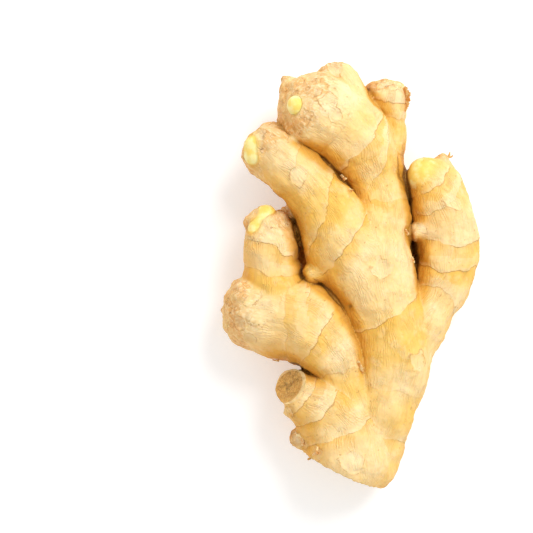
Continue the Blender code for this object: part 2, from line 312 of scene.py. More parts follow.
def picked(table, columns):
    """From each row of the table, what stands in that row's own column."""
    return table[np.arange(len(table)), columns]


# %% What a limb knows about its axis
class Limb:
    """A limb's axis: its places, radii and gold, the ways along it, to its side and up, and its rings."""

    def __init__(self, name, plan):
        rows = smooth_rows(plan["stations"])
        self.name = name
        self.centre = rows[:, :3] + SHIFT
        self.radius = rows[:, 3]
        self.gold = rows[:, 4]
        self.tangent = unit(np.gradient(self.centre, axis=0))
        self.side = unit(np.cross(self.tangent, (0, 0, 1)))
        self.up = np.cross(self.side, self.tangent)
        steps = np.linalg.norm(np.diff(self.centre, axis=0), axis=1)
        self.along = np.concatenate([[0], np.cumsum(steps)])
        self.length = self.along[-1]
        self.rings = np.array(plan.get("rings", []), float).reshape(-1, 5)
        self.cap = plan.get("cap", 0)
        self.fade = plan.get("fade", 0)


limbs = [Limb(name, plan) for name, plan in LIMBS.items()]
is_bud = np.array([limb.name in BUDS for limb in limbs])
print("The longest limb is", max(limbs, key=lambda limb: limb.length).name)

# %% [markdown]
# ## A rough skin
#
# Each limb becomes a tube: a circle carried along the axis, closed by half a ball at each end. The
# tubes run into each other, so a voxel remesh wraps them all in one even skin with no inside walls. A
# Boolean union of nearly thirty tubes would also work, but it is slow and leaves thin faces at every
# crossing.

# %% A circle carried along a limb
TUBE_SIDES = 48
DOME_ROWS = 8
DOME_END = np.radians(89)


def dome_rows(limb, end):
    """Rows beyond an end: out by r sin(a) and of radius r cos(a), for a from just over 0 to DOME_END."""
    outward = limb.tangent[end] * (1 if end else -1)
    a = DOME_END * np.arange(1, DOME_ROWS + 1)[:, None] / DOME_ROWS
    return limb.centre[end] + outward * limb.radius[end] * np.sin(a), limb.radius[end] * np.cos(a[:, 0])


def tube(limb, sides=TUBE_SIDES):
    """Points: centre + r (cos(turn) side + sin(turn) up), rows along the limb and its two domes."""
    (start, start_r), (tip, tip_r) = dome_rows(limb, 0), dome_rows(limb, -1)
    centre = np.vstack([start[::-1], limb.centre, tip])
    radius = np.concatenate([start_r[::-1], limb.radius, tip_r])
    rows = np.clip(np.arange(len(centre)) - DOME_ROWS, 0, len(limb.centre) - 1)
    turn = np.linspace(0, 2 * np.pi, sides, endpoint=False)[None, :, None]
    circle = np.cos(turn) * limb.side[rows][:, None] + np.sin(turn) * limb.up[rows][:, None]
    return centre[:, None] + circle * radius[:, None, None]


def closed_tube_faces(rows, sides):
    """Quads between neighbouring rows of a tube, and one many-sided face at each end."""
    row, side = np.meshgrid(np.arange(rows - 1), np.arange(sides), indexing="ij")
    beside = (side + 1) % sides
    quads = np.stack([row, row, row + 1, row + 1], -1) * sides
    quads += np.stack([side, beside, beside, side], -1)
    ends = [list(range(sides))[::-1], list(range((rows - 1) * sides, rows * sides))]
    return quads.reshape(-1, 4).tolist() + ends


# %% Wrap the tubes in one skin
VOXEL = 0.68


def rough_skin():
    """All tubes in one mesh, remeshed with cubes of side VOXEL. Gives its points and quads."""
    points, faces, count = [], [], 0
    for limb in limbs:
        grid = tube(limb)
        points.append(grid.reshape(-1, 3))
        faces += [[corner + count for corner in face] for face in closed_tube_faces(*grid.shape[:2])]
        count += grid.shape[0] * grid.shape[1]
    tubes = added_mesh("tubes", np.vstack(points), faces)
    remesh = tubes.modifiers.new("One skin", "REMESH")
    remesh.mode = "VOXEL"
    remesh.voxel_size = VOXEL * MM
    graph = bpy.context.evaluated_depsgraph_get()
    wrapped = bpy.data.meshes.new_from_object(tubes.evaluated_get(graph), depsgraph=graph)
    bpy.data.objects.remove(tubes)
    points = np.zeros(len(wrapped.vertices) * 3)
    wrapped.vertices.foreach_get("co", points)
    quads = np.zeros(len(wrapped.loops), int)
    wrapped.loops.foreach_get("vertex_index", quads)
    bpy.data.meshes.remove(wrapped)
    return points.reshape(-1, 3) / MM, quads.reshape(-1, 4)


points, quads = rough_skin()
print(len(points), "points,", len(quads), "quads")

# %% [markdown]
# ## Where on the root is this point?
#
# Everything that follows asks the same question: how far is a point from each limb, how far along it,
# and how far round it? The answer comes from the axis alone. The nearest row of the axis is found
# first, then the point's foot slides along the axis between two rows, which keeps the skin free of
# ribs. A limb is only asked about points close to its own box, which makes nearly thirty limbs cost
# little more than three.

# %% Ask one limb
REACH = 9
FAR = 30.0


def ask_limb(points, limb):
    """Which points are near the limb, and for them: depth = distance to the axis - radius there,
    the distance, the way out, the place along, the turn and the gold.

    The turn's two numbers are how far the point lies to the limb's side and over it.
    """
    low = (limb.centre - limb.radius[:, None]).min(axis=0) - REACH
    high = (limb.centre + limb.radius[:, None]).max(axis=0) + REACH
    near = np.flatnonzero(((points > low) & (points < high)).all(axis=1))
    offset = points[near, None] - limb.centre[None]
    row = (np.linalg.norm(offset, axis=2) - limb.radius).argmin(axis=1)
    offset = picked(offset, row)
    half_gaps = np.diff(limb.along) / 2
    forward, backward = np.append(half_gaps, 0)[row], np.append(0, half_gaps)[row]
    tangent = limb.tangent[row]
    slide = np.clip((offset * tangent).sum(axis=1), -backward, forward)
    offset -= slide[:, None] * tangent
    radius = limb.radius[row] + np.gradient(limb.radius, limb.along)[row] * slide
    distance = np.linalg.norm(offset, axis=1)
    depth = distance - radius
    along = limb.along[row] + slide + (offset * tangent).sum(axis=1)
    turn = np.stack([(offset * limb.side[row]).sum(axis=1), (offset * limb.up[row]).sum(axis=1)], -1)
    return near, depth, distance, unit(offset), along, turn, limb.gold[row]


# %% Ask them all, and blend the answers
BLEND = 0.55


def ask_root(points):
    """Blended depth = least depth - BLEND ln(sum of e^((least - depth) / BLEND)).

    A limb's share is its term of that sum, divided by the sum.
    """
    count = len(points)
    told = {
        "depth": np.full((len(limbs), count), FAR),
        "distance": np.full((len(limbs), count), FAR),
        "along": np.zeros((len(limbs), count)),
        "gold": np.zeros((len(limbs), count)),
        "away": np.zeros((len(limbs), count, 3)),
        "turn": np.zeros((len(limbs), count, 2)),
    }
    for number, limb in enumerate(limbs):
        near, *answers = ask_limb(points, limb)
        for key, answer in zip(("depth", "distance", "away", "along", "turn", "gold"), answers):
            told[key][number, near] = answer
    least = told["depth"].min(axis=0)
    share = np.exp((least - told["depth"]) / BLEND)
    told["skin"] = least - BLEND * np.log(share.sum(axis=0))
    told["share"] = share / share.sum(axis=0)
    told["out"] = np.einsum("ln,lnk->nk", told["share"], told["away"])
    return told


# %% Settle the rough skin on the blended surface
SETTLE_ROUNDS = 3
LEAST_SLOPE = 0.05


def settled(points):
    """Steps of depth / |out|^2 along the way out, which end where the blended depth is nil."""
    for _ in range(SETTLE_ROUNDS):
        told = ask_root(points)
        slope = np.maximum((told["out"] ** 2).sum(axis=1), LEAST_SLOPE)
        points = points - told["out"] * (told["skin"] / slope)[:, None]
    return points


smooth_points = settled(points)
told = ask_root(smooth_points)
out = unit(told["out"])
print("Left to settle:", round(float(np.abs(told["skin"]).max()), 3), "mm")

# %% [markdown]
# ## Ripples
#
# Grown things are never even. A sum of plane waves that all have about the same length but run in
# seeded chance directions gives bumps of one chosen size, with no grid in them. It costs one matrix
# product, so the skin can have ripples of several sizes.

# %% Bumps of a chosen size
WAVES = 18
WAVE_SIZES = (0.75, 1.3)


def ripple(points, length, seed):
    """The sum of sin(k . p + start) over WAVES waves, scaled to a spread of one.

    Each k is 2 pi / length long, times a chance number between the WAVE_SIZES.
    """
    chance = np.random.default_rng(seed)
    ways = unit(chance.normal(size=(WAVES, 3))).T
    sizes = chance.uniform(*WAVE_SIZES, WAVES) * 2 * np.pi / length
    sines = np.sin(points @ (ways * sizes) + chance.uniform(0, 2 * np.pi, WAVES))
    return sines.sum(axis=1) / math.sqrt(WAVES / 2)


def ripples(points, sizes):
    """The sum of height x ripple over rows of height, length and seed."""
    return sum(height * ripple(points, length, seed) for height, length, seed in sizes)


def ease(value, start, end):
    """0 before start and 1 after end, by 3t^2 - 2t^3 between them."""
    t = np.clip((value - start) / (end - start), 0, 1)
    return t * t * (3 - 2 * t)


# %% [markdown]
# ## Rings
#
# A ring is the scar of a scale leaf that went once round the finger. The side towards the tip swells up
# to it, and the side towards the root drops off short. It wanders, and it is strong on one side of the
# finger and faint on the other. The signed distance to the ring line is worked out for every limb,
# because the colours will want the same line as the relief.

# %% How far past each ring
WANDER, WANDER_LENGTHS = 0.5, (5.1, 4.3, 3.7)
RING_TEETH = [(0.4, 7, 31), (0.1, 2.6, 32)]
SIDE_FADE = (-1.5, 3.0)


def wandered(points, along):
    """The place along a limb, pushed about by slow waves that the solid shares, and by short teeth."""
    x, y, z = (points / WANDER_LENGTHS).T
    slow = WANDER * (np.sin(x) + np.sin(y + z))
    return along + slow + ripples(points, RING_TEETH)


def past_rings(limb, points, along, across):
    """Wandered place - (ring's place + lean across + bow across^2), in mm, a column for each ring."""
    place, lean, bow = limb.rings[:, :3].T
    across = across[:, None]
    return wandered(points, along)[:, None] - place - lean * across - bow * across**2


def shown(limb, across):
    """How much of each ring shows at a place across the limb: its strength, on its own side."""
    strength, side = limb.rings[:, 3:].T
    return strength * np.where(side == 0, 1, ease(side * across[:, None], *SIDE_FADE))


# %% The nearest ring of every limb
to_ring = np.full(told["depth"].shape, FAR)
ring_power = np.zeros(told["depth"].shape)
for number, limb in enumerate(limbs):
    if len(limb.rings):
        across = told["turn"][number, :, 0]
        past = past_rings(limb, smooth_points, told["along"][number], across)
        nearest = np.abs(past).argmin(axis=1)
        to_ring[number] = picked(past, nearest)
        ring_power[number] = picked(shown(limb, across), nearest)
print("Points within 1 mm of a ring:", int((np.abs(to_ring).min(axis=0) < 1).sum()))

# %% [markdown]
# ## Round scars
#
# Where a shoot or a root withered and fell, it left a round scar: a low rim with a sunken, wrinkled
# middle. The ones that face the sky are listed, x, y and radius, and lie on the highest skin
# there. The underside, which no picture shows, gets nearly as many at seeded chance places.

# %% Where the scars lie
EYES = [
    (-8.1, 63.3, 3.3), (-6.3, 57.7, 2.9), (-0.7, 58.1, 0.9), (-13.3, 67.7, 1.8),
    (-34.4, 53.3, 2.8), (-20.4, 35.9, 3.4), (10.4, 3.0, 3.6), (24.0, -31.8, 3.4),
    (0.0, -68.8, 4.6), (37.7, 27.8, 3.2), (-42.6, -17.4, 2.6), (-38.1, -23.3, 2.4),
    (-24.0, -50.0, 2.0), (-20.7, -61.4, 3.8), (-14.4, -65.9, 3.2), (13.3, 73.3, 2.6),
    (-6.7, 77.7, 3.0),
]
LOW_EYES = 14
LOW_EYE_RADII = (1.5, 4.0)
FACES_DOWN = 0.1
CLOSE_BY = 1


def highest_at(points, x, y):
    """The highest of the points that lie within CLOSE_BY of x, y seen from above."""
    over = np.hypot(points[:, 0] - x - SHIFT[0], points[:, 1] - y - SHIFT[1]) < CLOSE_BY
    return points[over][points[over, 2].argmax()]


chance = np.random.default_rng(71)
low = np.flatnonzero(out[:, 2] < FACES_DOWN)
seen_eyes = [highest_at(smooth_points, x, y) for x, y, _ in EYES]
eye_places = np.vstack([seen_eyes, smooth_points[chance.choice(low, LOW_EYES)]])
eye_radii = np.concatenate([[radius for _, _, radius in EYES], chance.uniform(*LOW_EYE_RADII, LOW_EYES)])
print(len(eye_radii), "round scars")

# %% How far from the nearest scar's rim
SCAR_WOBBLE = [(0.12, 6, 72), (0.06, 2.5, 73)]


def past_rims(points):
    """The least, over the scars, of distance to the middle x wobble - radius. Also gives that radius."""
    wobble = 1 + ripples(points, SCAR_WOBBLE)
    past = np.linalg.norm(points[:, None] - eye_places, axis=2) * wobble[:, None] - eye_radii
    nearest = past.argmin(axis=1)
    return picked(past, nearest), eye_radii[nearest]


past_rim, rim_radius = past_rims(smooth_points)

# %% [markdown]
# ## Bulges
#
# Here and there the flesh swells on one side only. Each such place is x, y, how far it reaches and how
# high it swells.

# %% One-sided bulges
BULGES = [(33.5, 17.5, 4.0, 0.5), (-33.5, -2.5, 5.0, 0.6), (-2.5, 52.0, 5.5, 0.6)]


def bulges(points):
    """The sum of height e^-(distance / reach)^2 over the bulges."""
    middles = np.array([highest_at(smooth_points, x, y) for x, y, _, _ in BULGES])
    reach, tall = np.array(BULGES)[:, 2:].T
    away = np.linalg.norm(points[:, None] - middles, axis=2)
    return (tall * np.exp(-((away / reach) ** 2))).sum(axis=1)


bulge = bulges(smooth_points)

# %% [markdown]
# ## Relief
#
# The height of the skin over the smooth limbs is one sum: the solid's slow lumps and swells, finer
# ripples, the lips of the rings, the bulges, the rims of the scars, and the wrinkles of the old caps,
# less the seams between the fingers. Each limb's part is weighed by its share, so rings fade where one
# limb grows into another.

# %% Lumps, swells and lips
LUMP, LUMP_LENGTH, LUMP_SPREAD = 0.4, 2.6, 1.5
SWELL = 0.7
LIP, LIP_TIPWARD, LIP_ROOTWARD = 0.36, 2.8, 0.5


def lumps(points):
    """Three slow sine waves, the same as the solid's."""
    x, y, z = points.T / LUMP_LENGTH
    waves = np.sin(x + 0.6 * y + 1.0) + np.sin(0.8 * y - 0.7 * z)
    waves += np.sin(0.9 * z + 0.5 * x - 0.4 * y + 2.0)
    return LUMP * waves / LUMP_SPREAD


def lips(distance, strength):
    """LIP e^-(d/width)^2, wide on the tip's side of the ring and narrow on the root's side."""
    width = np.where(distance > 0, LIP_TIPWARD, LIP_ROOTWARD)
    return LIP * strength * np.exp(-((distance / width) ** 2))


def swells(limb, points, along, across):
    """Between two rings a limb swells by SWELL (sin(pi t) - 1/2), t running from one ring to the next."""
    past = past_rings(limb, points, along, across)[:, limb.rings[:, 4] == 0]
    before_tip = along - limb.length - limb.radius[-1]
    past = np.column_stack([along, past, before_tip])
    span = np.clip((past >= 0).sum(axis=1) - 1, 0, past.shape[1] - 2)
    gone, left = picked(past, span), -picked(past, span + 1)
    t = np.clip(gone / np.maximum(gone + left, 1), 0, 1)
    return SWELL * (np.sin(np.pi * t) - 0.5)


# %% How far a point is into its limb's scarred cap
CAP_FULL, CAP_END = 0.4, 1.15


def cap_depth(told):
    """1 up to CAP_FULL cap lengths from the tip, easing to 0 at CAP_END, weighed by the limbs' shares."""
    depth = np.zeros(told["depth"].shape)
    for number, limb in enumerate(limbs):
        if limb.cap:
            from_tip = limb.length + limb.radius[-1] - told["along"][number]
            depth[number] = 1 - ease(from_tip, CAP_FULL * limb.cap, CAP_END * limb.cap)
    return (told["share"] * depth).sum(axis=0)


cap = cap_depth(told)

# %% Wrinkles
RIM, RIM_WIDTH = 0.42, 0.5
SUNK, SUNK_WITHIN = 0.35, 0.4
INNER_RIM, INNER_WIDTH = 0.4, 0.45
WRINKLE, WRINKLE_LENGTH = 0.1, 2.9
WRINKLE_SWAY = [(1.1, 7, 54), (0.5, 3, 55)]


def scar_relief(past, radius):
    """RIM e^-(past / width)^2 - SUNK inside the rim + a low second rim half way to the middle."""
    inner = INNER_RIM * RIM * np.exp(-(((past + radius / 2) / INNER_WIDTH) ** 2))
    return RIM * np.exp(-((past / RIM_WIDTH) ** 2)) - SUNK * ease(past, 0, -SUNK_WITHIN * radius) + inner


def wrinkles(points, told):
    """Rows of folds round the tips: WRINKLE sin(2 pi (place along + sway) / WRINKLE_LENGTH)."""
    place = (told["share"] * told["along"]).sum(axis=0) + ripples(points, WRINKLE_SWAY)
    return WRINKLE * np.sin(2 * np.pi * place / WRINKLE_LENGTH)


# %% Fine relief
FAINT_LIP, FAINT_PATCHES = 0.4, 22
FRESH_FROM, BUD_SHARE = (-0.9, 0.6), (0.2, 0.8)
FINE = [(0.07, 3.4, 52), (0.04, 2.0, 53)]
CAP_FINE = [(0.05, 2.6, 56)]

fresh = FAINT_LIP + (1 - FAINT_LIP) * ease(ripple(smooth_points, FAINT_PATCHES, 41), *FRESH_FROM)
smooth = 1 - ease(told["share"][is_bud].sum(axis=0), *BUD_SHARE)
fine = ripples(smooth_points, FINE)
fine += cap * (wrinkles(smooth_points, told) + ripples(smooth_points, CAP_FINE))
fine += scar_relief(past_rim, rim_radius)

# %% [markdown]
# ## Hollows and seams
#
# Shade gathers where two fingers meet, and the skin there is painted darker and browner as painted
# shade. To find such places, take a step straight out of the skin and ask how far outside the root that
# is. On an open finger the answer is the length of the step. In a hollow it is less, because the next
# finger is close. A wide step finds the broad hollows, and a narrow one the crevices.
#
# Where two stout limbs grew against each other, a fine groove runs between them. It lies where a point
# is as deep in one limb as in the other. It shows only in a hollow, and it fades where a third limb
# comes near.

# %% Look for hollows
NARROW_STEP, WIDE_STEP = 1.6, 7.5


def hollow(step):
    """1 - depth / step, a step out of the smooth skin: 0 in the open, towards 1 in a crevice."""
    return np.clip(1 - ask_root(smooth_points + out * step)["skin"] / step, 0, 1)


crevice, shade = hollow(NARROW_STEP), hollow(WIDE_STEP)
print("Points in a crevice:", int((crevice > 0.3).sum()))

# %% Seams where two limbs meet
STOUT = 8
SEAM_DEPTH, SEAM_WIDTH = 0.5, 0.6
SEAM_SHADE = (0.2, 0.45)
THIRD_LIMB = (0.5, 3.0)

stout = np.array([limb.radius.mean() > STOUT for limb in limbs])
first, second, third = np.sort(told["depth"][stout], axis=0)[:3]
groove = SEAM_DEPTH * np.exp(-(((second - first) / SEAM_WIDTH) ** 2)) * ease(shade, *SEAM_SHADE)
groove *= ease(third - first, *THIRD_LIMB)
print("The deepest seam is", round(groove.max(), 2), "mm")

# %% Add it all up
UNEVEN = [(0.16, 8, 51)]
CAP_LUMPS = [(0.26, 6.5, 57)]

height = lumps(smooth_points) + bulge - groove + smooth * (ripples(smooth_points, UNEVEN) + fine)
height += smooth * cap * ripples(smooth_points, CAP_LUMPS)
for number, limb in enumerate(limbs):
    if len(limb.rings):
        swell = swells(limb, smooth_points, told["along"][number], told["turn"][number, :, 0])
        height += told["share"][number] * (swell + lips(to_ring[number], ring_power[number] * fresh))
skin_points = smooth_points + out * height[:, None]
print("Relief from", round(height.min(), 2), "to", round(height.max(), 2), "mm")

# %% [markdown]
# ## Cuts
#
# The heel was broken off, a finger was snapped from the stub beside it, and the root lies on small
# flats. A point past a cut's plane slides onto it along the plane's normal. How far past it was is
# kept, because its zero line is the exact rim of the cut, sharper than the mesh.

# %% Press the cuts flat
HEEL_AT, HEEL_FACING = (-4.5, -71.5, 16.0), (-0.43, -0.903, -0.05)
SCAR_AT, SCAR_FACING = (-23.5, -40.7, 23.3), (-0.64, 0.44, 0.63)
SCAR_REACH = 8.2
SCAR_DISH, DISH_REACH = 0.7, 6.5
TORN = [(0.12, 2.5, 61), (0.08, 1.4, 62)]


def past_plane(points, at, facing):
    """How far each point is past the plane: (p - at) . facing, with facing made one long."""
    return (points - np.array(at) - SHIFT) @ unit(np.array(facing))


past_heel = past_plane(skin_points, HEEL_AT, HEEL_FACING)
torn = ripples(skin_points, TORN)
skin_points -= unit(np.array(HEEL_FACING)) * (np.maximum(past_heel, 0) + torn * (past_heel > 0))[:, None]

past_scar = past_plane(skin_points, SCAR_AT, SCAR_FACING)
from_middle = skin_points - np.array(SCAR_AT) - SHIFT - past_scar[:, None] * unit(np.array(SCAR_FACING))
across_scar = np.linalg.norm(from_middle, axis=1)
past_scar = np.where(across_scar < SCAR_REACH, past_scar, -FAR)
dish = SCAR_DISH * np.clip(1 - (across_scar / DISH_REACH) ** 2, 0, 1)
skin_points -= unit(np.array(SCAR_FACING)) * ((past_scar + dish) * (past_scar > 0))[:, None]

skin_points[:, 2] = np.maximum(skin_points[:, 2], 0)
print("On the heel's face:", int((past_heel > 0).sum()), "on the scar:", int((past_scar > 0).sum()))

# %% [markdown]
# ## The skin's mesh
#
# The points and quads become one closed mesh. What was worked out about each point is stored on the
# mesh as attributes, which the material reads by name. Most change smoothly and sit on the points. Some
# can't: the place along a finger and the distance to its ring jump where one finger meets the next.
# Those sit on the faces' corners, and all corners of a face take them from the one limb that owns the
# face. The straightened place runs round and along a finger as if it were a straight rod, and closes to
# a point over its tip.

# %% Build the mesh
skin = added_mesh("ginger_skin", skin_points, quads.tolist())
mesh = skin.data
mesh.shade_smooth()
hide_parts("ginger_root")
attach(skin, "root")

# %% What each point knows
# The way towards the lamp. Skin that faces away from it is painted deeper gold: painted shade.
LAMP_SIDE = (0.42, 0.3, 0.85)
BULGE_GOLD = 0.5
DEEP_FOLD = 0.25
BY_RIM, BY_BUD, BY_CUT, BY_RING = 5, 3, 3, 9

fades = np.array([limb.fade for limb in limbs if limb.fade])
flesh_depth = told["depth"][~is_bud].min(axis=0)
bud_cover = ((flesh_depth - told["depth"][is_bud]) / fades[:, None]).max(axis=0)
POINT_FACTS = {
    "gold": (told["share"] * told["gold"]).sum(axis=0) + BULGE_GOLD * bulge,
    "cap": cap,
    "groove": np.clip(-fine / DEEP_FOLD, -1, 1),
    "past_rim": np.clip(past_rim, -BY_RIM, BY_RIM),
    # How far the skin faces away from the lamp, which the colour uses for painted shade.
    "away_from_lamp": -out @ unit(np.array(LAMP_SIDE)),
    "bud": np.clip(bud_cover, -BY_BUD, BY_BUD),
    # How hollow the skin is, and where the seams lie. The colour paints shade in all three.
    "crevice": crevice,
    "shade": shade,
    "seam": groove / SEAM_DEPTH,
    "heel_face": np.clip(past_heel, -BY_CUT, BY_CUT),
    "scar_face": np.clip(past_scar, -BY_CUT, BY_CUT),
    "scar_place": across_scar,
}
for name, values in POINT_FACTS.items():
    mesh.attributes.new(name, "FLOAT", "POINT").data.foreach_set("value", values.astype(np.float32))

# %% What each face's corners know
APART = 40.0

owner = told["share"][:, quads].sum(axis=2).argmax(axis=0)
corner_points = quads.ravel()
corner_owner = np.repeat(owner, 4)
own_along = told["along"][corner_owner, corner_points]
own_turn = told["turn"][corner_owner, corner_points]
girth = np.array([limb.radius.mean() for limb in limbs])[corner_owner]
own_distance = told["distance"][corner_owner, corner_points]
straight = np.column_stack([own_turn * (girth / own_distance)[:, None], own_along + APART * corner_owner])

angle = np.arctan2(own_turn[:, 0], own_turn[:, 1]).reshape(-1, 4)
angle += 2 * np.pi * np.round((angle[:, :1] - angle) / (2 * np.pi))
around = angle.ravel() * girth

corner_ring = np.full(len(corner_points), FAR)
corner_power = np.zeros(len(corner_points))
for number, limb in enumerate(limbs):
    mine = np.flatnonzero(corner_owner == number)
    if len(limb.rings) and len(mine):
        across = own_turn[mine, 0]
        past = past_rings(limb, smooth_points[corner_points[mine]], own_along[mine], across)
        nearest = np.repeat(np.abs(past.reshape(-1, 4, len(limb.rings)).mean(axis=1)).argmin(axis=1), 4)
        corner_ring[mine] = picked(past, nearest)
        corner_power[mine] = picked(shown(limb, across), nearest)

corner_ring = np.clip(corner_ring, -BY_RING, BY_RING)
mesh.attributes.new("straight", "FLOAT_VECTOR", "CORNER").data.foreach_set("vector", straight.ravel())
for name, values in {"around": around, "ring": corner_ring, "ring_power": corner_power}.items():
    mesh.attributes.new(name, "FLOAT", "CORNER").data.foreach_set("value", values)
print("The skin has", len(quads) * 2, "triangles")

# %% [markdown]
# ## Colours
#
# Paints are named from ginger under white light, as 0 to 255 numbers on a screen. A shader wants
# linear light, so each goes through the screen's own curve first.

# %% Paints
def paint(red, green, blue):
    """Screen numbers to linear light: c / 12.92 when small, else ((c + 0.055) / 1.055)^2.4."""
    screen = np.array([red, green, blue]) / 255
    linear = np.where(screen <= 0.04045, screen / 12.92, ((screen + 0.055) / 1.055) ** 2.4)
    return (*linear.tolist(), 1.0)


CREAM = paint(246, 213, 150)
PALE = paint(253, 233, 190)
GOLD = paint(243, 196, 94)
DEEP_GOLD = paint(223, 162, 58)
# Painted shade for the hollows, crevices and seams.
SHADE_BROWN_GOLD = paint(196, 134, 36)
RING_BROWN = paint(186, 130, 66)
CAP_BROWN = paint(178, 126, 66)
CAP_TAN = paint(232, 196, 140)
CAP_RUST = paint(220, 146, 62)
BUD_YELLOW = paint(250, 216, 108)
BUD_PALE = paint(254, 236, 160)
# Painted shade for the deepest crevices and seams.
CREVICE_SHADE_BROWN = paint(104, 62, 16)
SCAR_TAN = paint(226, 176, 96)
SCAR_DARK = paint(196, 142, 66)
COLLAR = paint(242, 208, 144)
HEEL_TAN = paint(238, 204, 138)
# A warm tint multiplied over the side away from the lamp: painted shade.
FAR_SIDE_SHADE_TINT = paint(253, 228, 176)

# %% [markdown]
# ## Short names for shader nodes
#
# A procedural material is a long chain of small nodes. A few helpers keep the chain readable: one adds
# any node and joins its inputs, and the others wrap the kinds that come up again and again.

# %% Helpers for the chain
class Chain:
    """A material's node tree, with a short call for each kind of node that this lesson uses."""

    def __init__(self, name):
        self.material = bpy.data.materials.new(name)
        self.material.use_nodes = True
        self.tree = self.material.node_tree
        self.shader = self.tree.nodes["Principled BSDF"]

    def add(self, kind, inputs, **settings):
        """A node of the kind. An input is a number, or another node's output to join to it."""
        made = self.tree.nodes.new("ShaderNode" + kind)
        for name, value in settings.items():
            setattr(made, name, value)
        self.set(made, inputs)
        return made

    def set(self, node, inputs):
        """Gives a node's inputs their numbers and joins."""
        for name, value in inputs.items():
            if isinstance(value, bpy.types.NodeSocket):
                self.tree.links.new(value, node.inputs[name])
            else:
                node.inputs[name].default_value = value

    def fact(self, name, output="Fac"):
        """An attribute that is stored on the mesh."""
        return self.add("Attribute", {}, attribute_name=name).outputs[output]

    def sum(self, kind, a, b=0.0):
        """One sum on two numbers."""
        return self.add("Math", {0: a, 1: b}, operation=kind).outputs[0]

    def ease(self, value, start, end):
        """0 at start and 1 at end, smoothly between them. The end may be less than the start."""
        inputs = {"Value": value, "From Min": start, "From Max": end}
        return self.add("MapRange", inputs, interpolation_type="SMOOTHSTEP").outputs["Result"]

    def where(self, name, start, end):
        """An attribute, eased."""
        return self.ease(self.fact(name), start, end)

    def noise(self, where, period, detail=2.0, stretch=(1, 1, 1)):
        """Noise with bumps about one period across, longer by stretch along each axis."""
        scale = tuple(1 / (period * longer) for longer in stretch)
        scaled = self.add("VectorMath", {0: where, 1: scale}, operation="MULTIPLY").outputs[0]
        return self.add("TexNoise", {"Vector": scaled, "Scale": 1.0, "Detail": detail}).outputs["Fac"]

    def blend(self, amount, under, over, kind="MIX"):
        """The colour under, with as much as amount of the colour over on it."""
        inputs = {0: amount, 6: under, 7: over}
        return self.add("Mix", inputs, data_type="RGBA", blend_type=kind).outputs[2]


# %% [markdown]
# ## The skin's finish
#
# The skin is cream where it is old and gold where it is young. Deeper gold and brown are painted on the
# side turned away from the lamp and in every hollow, as painted shade, and the side facing the lamp is
# painted paler. Fine lines run all along each finger. Rings are thin brown lines with a pale papery rim
# on the tip's side. The caps are wrinkled and mottled, with brown in the folds, and buds are clear yellow.
# The patterns follow the straightened limb, so the lines run along every finger however it bends. All of
# them are built from noise, because nothing on a root repeats.

# %% Patterns on the skin
root = Chain("ginger_skin")
straight_place = root.fact("straight", "Vector")
object_place = root.add("TexCoord", {}).outputs["Object"]
place = root.add("VectorMath", {0: object_place, "Scale": 1 / MM}, operation="SCALE").outputs[0]

long_lines = root.noise(straight_place, 1.5, stretch=(1, 1, 12))
line_patches = root.noise(straight_place, 4, stretch=(1, 1, 2))
drift = root.noise(straight_place, 6, detail=3.0, stretch=(1, 1, 2.5))
flecks = root.noise(straight_place, 0.75, stretch=(1, 1, 2.5))
cross_lines = root.noise(straight_place, 0.8, stretch=(6, 6, 1))
clouds = root.noise(place, 13)
ring_patches = root.noise(place, 8, detail=1.0)
patches = root.noise(place, 4.2, detail=3.0)
wide_folds = root.noise(place, 9, detail=4.0)
folds = root.noise(place, 6, detail=4.0)
teeth = root.noise(place, 1.5)
specks = root.noise(place, 1.4, detail=0.0)
grit = root.noise(place, 0.8)


# %% Sums on patterns
def times(*values):
    """The product of all the values."""
    product = values[0]
    for value in values[1:]:
        product = root.sum("MULTIPLY", product, value)
    return product


def plus(*values):
    """The sum of all the values."""
    total = values[0]
    for value in values[1:]:
        total = root.sum("ADD", total, value)
    return total


def about(value, size):
    """Noise moved to run from minus size / 2 to size / 2."""
    return times(root.sum("SUBTRACT", value, 0.5), size)


def combed(apart, sway):
    """Lines along the finger: (1 + sin(2 pi (way round + sway) / apart)) / 2."""
    turns = times(plus(root.fact("around"), about(drift, sway)), 2 * math.pi / apart)
    return plus(times(root.sum("SINE", turns), 0.5), 0.5)


def creases(folded, width):
    """Thin wandering lines: 1 where the noise crosses its middle, easing to 0 at width from it."""
    return root.ease(root.sum("ABSOLUTE", root.sum("SUBTRACT", folded, 0.5)), width, 0.0)


def layered(under, layers):
    """Paints one layer over another. A layer is how strong it is, where it lies, and its paint."""
    for strength, where, over in layers:
        under = root.blend(times(where, strength), under, over)
    return under


# %% Where each thing is
LINES_APART, LINES_SWAY = 0.84, 9.0
TOOTH = 0.8
RAGGED = 1.2
CUT_EDGE = 0.12

off_tip = root.where("cap", 1.0, 0.5)
fine_lines = times(combed(LINES_APART, LINES_SWAY), root.ease(line_patches, 0.34, 0.62), off_tip)
ring = plus(root.fact("ring"), about(teeth, TOOTH))
ring_shows = times(root.fact("ring_power"), root.ease(ring_patches, 0.34, 0.52))
ring_line = times(root.ease(root.sum("ABSOLUTE", ring), 0.26, 0.04), ring_shows)
ring_rim = times(root.ease(ring, 0.15, 0.5), root.ease(ring, 2.2, 0.7), ring_shows)
ring_foot = times(root.ease(ring, -8.5, -0.6), root.ease(ring, 0.1, -0.1), root.fact("ring_power"))

on_bud = root.ease(plus(root.fact("bud"), about(patches, RAGGED)), 0.0, 1.0)
off_bud = root.sum("SUBTRACT", 1.0, on_bud)
on_cap = times(root.ease(plus(root.fact("cap"), about(patches, RAGGED)), 0.25, 0.9), off_bud)
rim = plus(root.fact("past_rim"), about(teeth, TOOTH))
rim_line = times(root.ease(root.sum("ABSOLUTE", rim), 0.36, 0.05), root.ease(patches, 0.4, 0.55))
in_scar = root.ease(rim, 0.2, -0.8)
on_stub = root.where("scar_face", 0.0, CUT_EDGE)
on_heel = root.where("heel_face", 0.0, CUT_EDGE)
